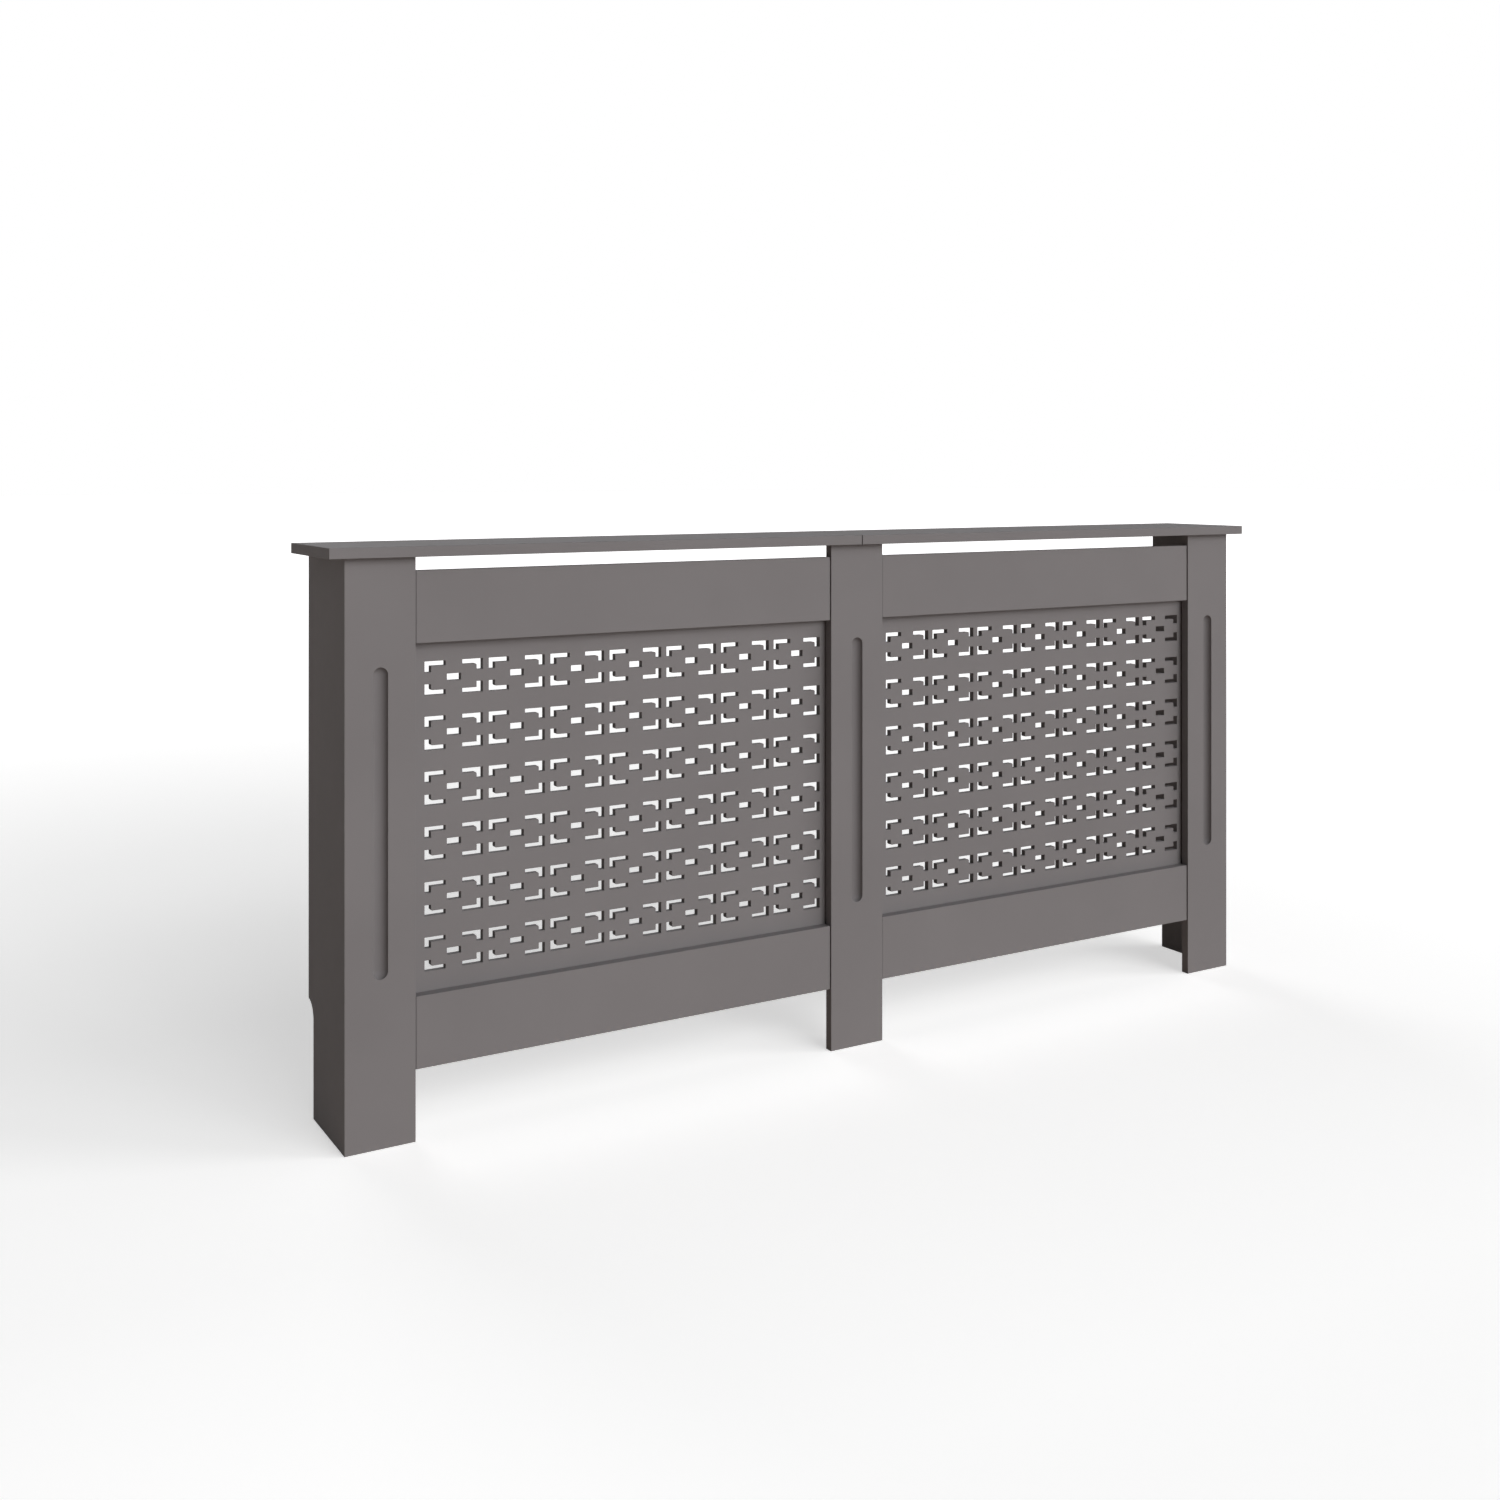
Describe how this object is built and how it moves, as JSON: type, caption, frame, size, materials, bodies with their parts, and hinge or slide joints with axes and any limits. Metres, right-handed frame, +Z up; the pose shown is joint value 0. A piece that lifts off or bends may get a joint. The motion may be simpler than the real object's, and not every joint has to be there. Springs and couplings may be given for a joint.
{
  "type": "radiator cover cabinet",
  "caption": "Painted MDF radiator cover with a two-piece shelf, grooved posts and slotted grille panels that let warm air out.",
  "frame": {"origin": "on the floor, under the middle of the shelf", "axes": "+X to the right along the width, +Y from the front to the wall, +Z up"},
  "size_m": [1.72, 0.191, 0.822],
  "materials": {
    "painted_mdf": "matt warm-grey paint on MDF",
    "beech": "raw fluted beech",
    "zinced_steel": "bright zinc-plated pressed steel"
  },
  "bodies": {
    "root": {"shelf_left": "painted_mdf", "shelf_right": "painted_mdf", "post_left": "painted_mdf", "post_centre": "painted_mdf", "post_right": "painted_mdf", "side_panel_left": "painted_mdf", "side_panel_right": "painted_mdf", "top_rail_left": "painted_mdf", "top_rail_right": "painted_mdf", "bottom_rail_left": "painted_mdf", "bottom_rail_right": "painted_mdf", "grille_left": "painted_mdf", "grille_right": "painted_mdf", "rail_dowel_left_top_left_1": "beech", "rail_dowel_left_top_left_2": "beech", "rail_dowel_left_top_right_1": "beech", "rail_dowel_left_top_right_2": "beech", "rail_dowel_left_bottom_left_1": "beech", "rail_dowel_left_bottom_left_2": "beech", "rail_dowel_left_bottom_right_1": "beech", "rail_dowel_left_bottom_right_2": "beech", "rail_dowel_right_top_left_1": "beech", "rail_dowel_right_top_left_2": "beech", "rail_dowel_right_top_right_1": "beech", "rail_dowel_right_top_right_2": "beech", "rail_dowel_right_bottom_left_1": "beech", "rail_dowel_right_bottom_left_2": "beech", "rail_dowel_right_bottom_right_1": "beech", "rail_dowel_right_bottom_right_2": "beech", "side_dowel_left_1": "beech", "side_dowel_left_2": "beech", "side_dowel_left_3": "beech", "side_dowel_right_1": "beech", "side_dowel_right_2": "beech", "side_dowel_right_3": "beech", "shelf_bracket_left": "zinced_steel", "shelf_bracket_centre_left": "zinced_steel", "shelf_bracket_centre_right": "zinced_steel", "shelf_bracket_right": "zinced_steel", "shelf_bracket_screw_left_up": "zinced_steel", "shelf_bracket_screw_left_side": "zinced_steel", "shelf_bracket_screw_centre_left_up": "zinced_steel", "shelf_bracket_screw_centre_left_side": "zinced_steel", "shelf_bracket_screw_centre_right_up": "zinced_steel", "shelf_bracket_screw_centre_right_side": "zinced_steel", "shelf_bracket_screw_right_up": "zinced_steel", "shelf_bracket_screw_right_side": "zinced_steel", "joining_plate": "zinced_steel", "joining_plate_screw_1": "zinced_steel", "joining_plate_screw_2": "zinced_steel", "joining_plate_screw_3": "zinced_steel", "joining_plate_screw_4": "zinced_steel", "wall_bracket_left": "zinced_steel", "wall_bracket_right": "zinced_steel", "wall_bracket_screw_left": "zinced_steel", "wall_bracket_screw_right": "zinced_steel"}
  },
  "joints": []
}
